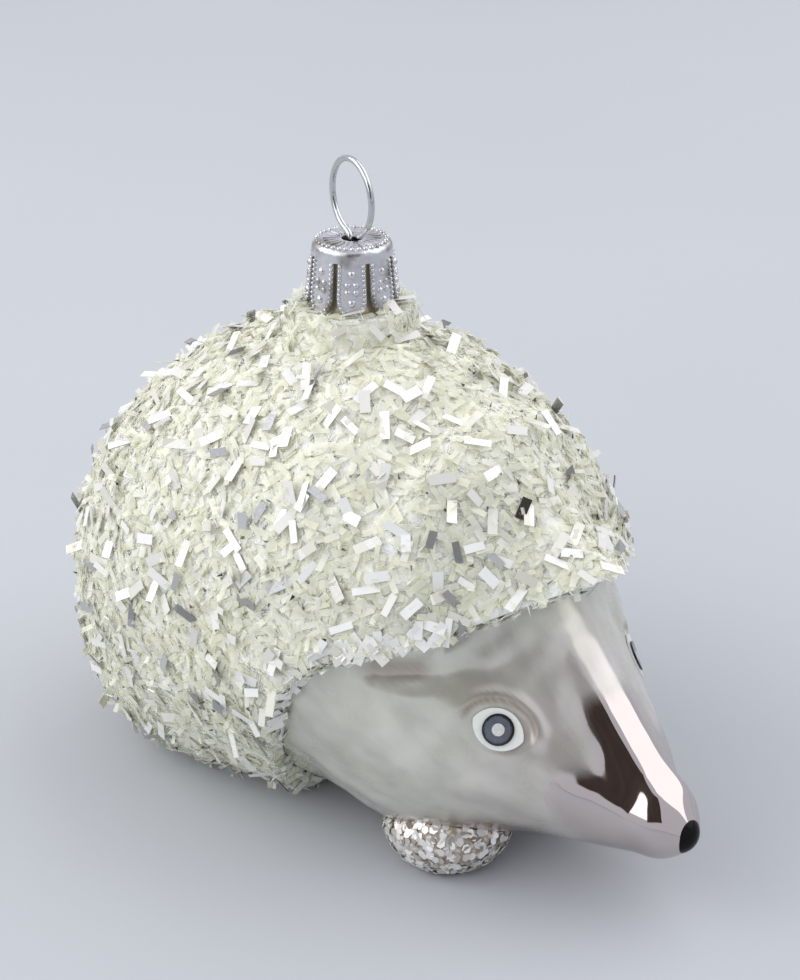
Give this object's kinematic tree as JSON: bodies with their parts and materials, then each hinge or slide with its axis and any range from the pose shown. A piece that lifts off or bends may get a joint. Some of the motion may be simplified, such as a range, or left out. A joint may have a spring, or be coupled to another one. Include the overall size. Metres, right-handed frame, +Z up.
{
  "type": "glass hedgehog figurine",
  "caption": "Blown-glass hedgehog figurine with a tinsel-flake coat, painted face and a petalled metal cap that holds a wire ring to hang it by.",
  "frame": {"origin": "on the flat under the belly that the figure stands on, straight below the axis of the neck", "axes": "+X along the figure towards the snout, +Y to the animal's left, +Z up along the neck, cap and ring"},
  "size_m": [0.0974, 0.06, 0.0817],
  "materials": {
    "silvered_glass": "silvered inside, pearl lacquer fading to bright mirror on the snout",
    "glitter_bed": "glued bed of fine clear and cream shards",
    "silver_foil": "mirror-coated film",
    "pearl_foil": "pearl film",
    "paw_glitter": "silver and white hexagonal glitter",
    "eye_white": "satin enamel",
    "iris": "satin enamel",
    "pupil": "satin enamel",
    "black_enamel": "gloss enamel",
    "cap_metal": "bright stamped tinplate",
    "wire": "bright drawn spring wire"
  },
  "bodies": {
    "glass": {"glass_body": "silvered_glass", "glitter_bed": "glitter_bed", "silver_tinsel": "silver_foil", "pearl_tinsel": "pearl_foil", "right_paw_glitter": "paw_glitter", "left_paw_glitter": "paw_glitter", "right_eye_white": "eye_white", "left_eye_white": "eye_white", "right_iris": "iris", "left_iris": "iris", "right_pupil": "pupil", "left_pupil": "pupil", "nose_tip": "black_enamel"},
    "cap": {"crown_cap": "cap_metal"},
    "hanger": {"wire_hanger": "wire"}
  },
  "joints": [
    {"name": "cap_lift", "type": "slide", "parent": "glass", "child": "cap", "axis": [0, 0, 1], "range_m": [0, 0.024]},
    {"name": "hanger_turn", "type": "hinge", "parent": "cap", "child": "hanger", "pos_m": [0, 0, 0.0715], "axis": [0, 0, 1], "continuous": true}
  ]
}
